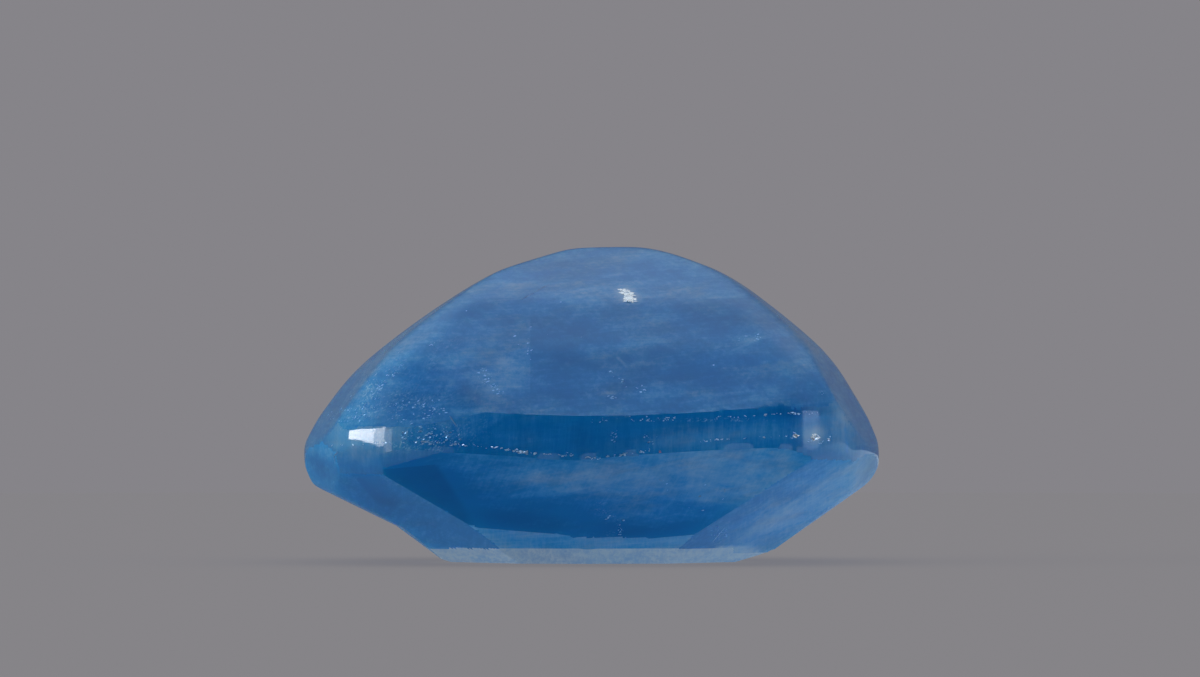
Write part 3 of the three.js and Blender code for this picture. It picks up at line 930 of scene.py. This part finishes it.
# Places in the photograph, in its pixels. Chips lie along lines: start, end, spread and number.
GIRDLE_CHIPS = [
    (330, 446, 420, 441, 0.8, 20), (420, 442, 460, 444, 0.9, 22), (460, 445, 505, 448, 0.7, 18),
    (505, 449, 530, 453, 0.9, 34), (530, 453, 565, 456, 0.5, 10), (565, 455, 602, 458, 0.9, 34),
    (602, 457, 640, 452, 0.6, 14), (640, 452, 650, 450, 0.9, 10), (700, 442, 722, 439, 0.6, 12),
    (722, 439, 790, 436, 0.5, 10), (790, 439, 796, 433, 0.8, 10), (828, 440, 832, 436, 0.7, 6),
    (806, 440, 830, 443, 0.8, 12),
    (628, 420, 658, 419, 1.5, 14), (664, 419, 676, 418, 1.0, 10), (715, 418, 722, 416, 0.8, 8),
    (725, 417, 760, 416, 0.5, 8), (762, 415, 818, 412, 0.7, 26), (590, 419, 610, 420, 1.5, 8)]
# Flecks, glints and specks lie in oval patches: middle, half width, half height, rise of the long side in
# degrees, and number
SILK_FLECKS = [
    (350, 415, 22, 8, 0, 70), (372, 402, 16, 6, 30, 26), (378, 388, 12, 3, 42, 22),
    (392, 374, 16, 3, 40, 20), (410, 412, 26, 12, 0, 60), (432, 435, 32, 10, 0, 90),
    (440, 408, 12, 6, -50, 16), (484, 376, 9, 8, -35, 40), (497, 390, 8, 5, -45, 22),
    (529, 345, 3, 20, 0, 14), (432, 343, 3, 3, 0, 4), (749, 338, 12, 4, 5, 16),
    (612, 397, 7, 1.5, 0, 12), (618, 378, 12, 3, -45, 10), (640, 387, 8, 3, -45, 8),
    (720, 534, 7, 10, 60, 26), (612, 518, 8, 3, 0, 12), (620, 530, 3, 6, 0, 12),
    (660, 500, 70, 26, 0, 10), (600, 330, 200, 70, 0, 10), (615, 435, 4, 8, 0, 12),
    (650, 438, 8, 8, 0, 8), (352, 396, 2, 2, 0, 2), (349, 378, 2, 2, 0, 2), (821, 393, 3, 2, 0, 4)]
SPARKLE = [(627, 294, 9, 4, -35, 34), (631, 300, 6, 2.5, 0, 18)]
GLINTS = [(815, 437, 4.5, 3, 0, 24), (795, 435, 2, 3, 0, 6), (829, 439, 1.5, 2, 0, 4)]
RUST_SPECKS = [
    (661, 480, 1.5, 1, 0, 4), (771, 452, 2, 2, 0, 3), (700, 497, 2, 2, 0, 3), (724, 492, 2, 4, 0, 4)]
FIRE = [(660, 452, 1, 1, 0, 2), (814, 438, 1, 1, 0, 1)]
# Single lines: start and end
PALE_LINES = [(449, 415, 456, 426), (712, 543, 726, 526), (335, 464, 334, 456), (334, 456, 338, 452)]
DARK_LINES = [(551, 283, 535, 292), (535, 292, 519, 301)]


def surface_details(stone):
    """The chips, pits, flecks and polish lines that the light catches on the stone."""
    work = bmesh.new()
    work.from_mesh(stone.data)
    tree = BVHTree.FromBMesh(work)
    work.free()
    random = np.random.default_rng(11)
    white = mirror_material("broken_corundum", "#b8dcff", 0.35)
    silk = mirror_material("silk_fleck", "#94c8f8", 0.35)
    glint = mirror_material("cleavage_mirror", "#eef8ff", 0.12)
    fire = mirror_material("fire_of_a_chip", "#ff9878", 0.3)
    dark = pit_material("polish_line", "#0f3f78", 0.5)
    rust = pit_material("rust_in_a_pit", "#5a4a2c", 0.6)
    fleck_piece("girdle_chips", tree, along_lines(GIRDLE_CHIPS, random), white, seed=1,
                sizes=(0.012, 0.045), lean=0.35, lift=0.45, rise=(0, 0.4))
    fleck_piece("silk_flecks", tree, scattered(SILK_FLECKS, random), silk, seed=2,
                sizes=(0.01, 0.045), lean=0.3, lift=0.45, rise=(30, 0.7))
    fleck_piece("sparkle", tree, scattered(SPARKLE, random), glint, seed=3,
                sizes=(0.05, 0.11), lean=0.16, lift=-0.15, rise=(-30, 0.3))
    fleck_piece("glints", tree, scattered(GLINTS, random), glint, seed=4,
                sizes=(0.03, 0.07), lean=0.25, lift=0.5, rise=(0, 0.3))
    fleck_piece("rust_specks", tree, scattered(RUST_SPECKS, random), rust, seed=6,
                sizes=(0.015, 0.03), lean=0.1, lift=0.0, rise=(0, 0.5))
    fleck_piece("fire", tree, scattered(FIRE, random), fire, seed=7,
                sizes=(0.03, 0.04), lean=0.1, lift=0.5, rise=(0, 0.3))
    line_piece("pale_lines", tree, PALE_LINES, silk, seed=5, half_width=0.014)
    line_piece("dark_lines", tree, DARK_LINES, dark, seed=5, half_width=0.009)


def floor_material():
    """An even sheet of pale acrylic, lit from below. The camera sees it in one grey; to the stone it is
    bluer, and brighter on the right."""
    material = new_material("lit_acrylic_sheet")
    tree = material.node_tree
    seen = add_node(tree, "LightPath", output="Is Camera Ray")
    across = add_node(tree, "SeparateXYZ", [add_node(tree, "TexCoord", output="Object")])
    lit = add_node(tree, "MapRange", [across, *FLOOR_GLOW_SPAN, *FLOOR_GLOW_STRENGTH], SMOOTH)
    strength = add_node(tree, "Mix", {0: seen, 2: lit, 3: FLOOR_SHOWN}, {"data_type": "FLOAT"})
    glow = add_node(tree, "Mix", {0: seen, 6: FLOOR_GLOW, 7: BACKDROP}, COLOURS, 2)
    shader = add_node(tree, "BsdfPrincipled", {
        "Base Color": linear(FLOOR_GREY), "Roughness": 1.0, "Specular IOR Level": 0.0,
        "Emission Color": glow, "Emission Strength": strength})
    add_node(tree, "OutputMaterial", {"Surface": shader})
    return material


def floor_piece():
    """A plain pale floor: a flat disc in rings. Each ring's radius is the floor's, times the square of the
    ring's share of them all, so the rings are closer together near the stone."""
    angle = np.linspace(0, 2 * math.pi, FLOOR_SPOKES, endpoint=False)
    radius = FLOOR_RADIUS * np.linspace(0, 1, FLOOR_RINGS + 1)[1:] ** 2
    points = np.stack([np.outer(radius, np.cos(angle)), np.outer(radius, np.sin(angle)),
                       np.zeros((FLOOR_RINGS, FLOOR_SPOKES))], axis=-1).reshape(-1, 3)
    index = np.arange(FLOOR_RINGS * FLOOR_SPOKES).reshape(FLOOR_RINGS, FLOOR_SPOKES)
    ahead = np.roll(index, -1, axis=1)
    quads = np.stack([index[:-1], index[1:], ahead[1:], ahead[:-1]], axis=-1).reshape(-1, 4)
    mesh = bpy.data.meshes.new("floor")
    mesh.from_pydata(points.tolist(), [], quads.tolist() + [index[0].tolist()])
    mesh.materials.append(floor_material())
    floor = bpy.data.objects.new("floor", mesh)
    bpy.context.collection.objects.link(floor)


def studio_world():
    """Soft tent light: even and pale from above, grey round the horizon, dark on the camera's side. The
    camera itself sees a plain grey backdrop."""
    world = bpy.data.worlds.new("studio")
    world.use_nodes = True
    tree = world.node_tree
    tree.nodes.clear()
    direction = add_node(tree, "TexCoord", output="Generated")
    upward = (0, -math.sin(TENT_LEAN), math.cos(TENT_LEAN))
    rise = add_node(tree, "VectorMath", [direction, upward], DOT, "Value")
    rise = add_node(tree, "MapRange", [rise, *TENT_SPAN], SMOOTH)
    tent = add_node(tree, "Mix", {0: rise, 6: HORIZON_LIGHT, 7: TENT_LIGHT}, COLOURS, 2)
    forward = (0, -math.cos(CAMERA_SIDE_RISE), math.sin(CAMERA_SIDE_RISE))
    shade = add_node(tree, "VectorMath", [direction, forward], DOT, "Value")
    shade = add_node(tree, "MapRange", [shade, *CAMERA_SIDE_SPAN], SMOOTH)
    studio = add_node(tree, "Mix", {0: shade, 6: tent, 7: CAMERA_SIDE}, COLOURS, 2)
    seen = add_node(tree, "LightPath", output="Is Camera Ray")
    colour = add_node(tree, "Mix", {0: seen, 6: studio, 7: BACKDROP}, COLOURS, 2)
    light = add_node(tree, "Background", {"Color": colour})
    add_node(tree, "OutputWorld", {"Surface": light})
    bpy.context.scene.world = world


def side_box(name, azimuth, span, radiance, colour="#ffffff"):
    """A low soft box beside the stone: its middle and its span in degrees round it, its brightness and its
    colour."""
    turn = math.radians(azimuth)
    wide = 2 * BOX_DISTANCE * math.tan(math.radians(span / 2))
    data = bpy.data.lights.new(name, "AREA")
    data.shape = "RECTANGLE"
    data.size = wide
    data.size_y = BOX_HEIGHT
    data.energy = radiance * math.pi * wide * BOX_HEIGHT
    data.color = linear(colour)[:3]
    place = Vector((math.sin(turn), -math.cos(turn), 0)) * BOX_DISTANCE
    place.z = BOX_HEIGHT / 2 - BOX_DIP
    light = bpy.data.objects.new(name, data)
    light.location = place
    light.rotation_euler = (Vector((0, 0, BOX_AIM)) - place).to_track_quat("-Z", "Y").to_euler()
    bpy.context.collection.objects.link(light)


def lights():
    studio_world()
    side_box("left_box", azimuth=-82, span=42, radiance=7.5)
    side_box("left_edge_box", azimuth=-54, span=14, radiance=4.0)
    side_box("left_fade_box", azimuth=-42, span=10, radiance=1.2)
    side_box("right_box", azimuth=64, span=24, radiance=1.5, colour="#c4dcff")


def camera_place():
    """The camera's place, the point it looks at, the metres that one of the photograph's pixels covers
    there, and its tilt. The stone's table lies on the photograph's line for it."""
    low, high = cad_box
    scale = (high[0] - low[0]) / (STONE_RIGHT - STONE_LEFT)
    stone_middle = (STONE_LEFT + STONE_RIGHT) / 2
    aim = np.array([(PHOTO_WIDTH / 2 - stone_middle) * scale, 0, (STONE_BOTTOM - PHOTO_HEIGHT / 2) * scale])
    tilt = math.radians(CAMERA_TILT)
    eye = aim + np.array([0, -math.cos(tilt), math.sin(tilt)]) * CAMERA_DISTANCE
    return eye, aim, scale, tilt


def camera():
    """A long lens a little above the table, framed so that the stone fills the photograph's span."""
    eye, _, scale, tilt = camera_place()
    data = bpy.data.cameras.new("camera")
    data.sensor_width = FILM_WIDTH
    data.lens = data.sensor_width * CAMERA_DISTANCE / (PHOTO_WIDTH * scale)
    data.clip_start = 0.01
    data.clip_end = 10
    placed = bpy.data.objects.new("camera", data)
    placed.location = eye
    placed.rotation_euler = (math.pi / 2 - tilt, 0, 0)
    bpy.context.collection.objects.link(placed)
    bpy.context.scene.camera = placed


surface_details(stone_piece())
floor_piece()
lights()
camera()
bpy.context.scene.view_settings.view_transform = "Standard"
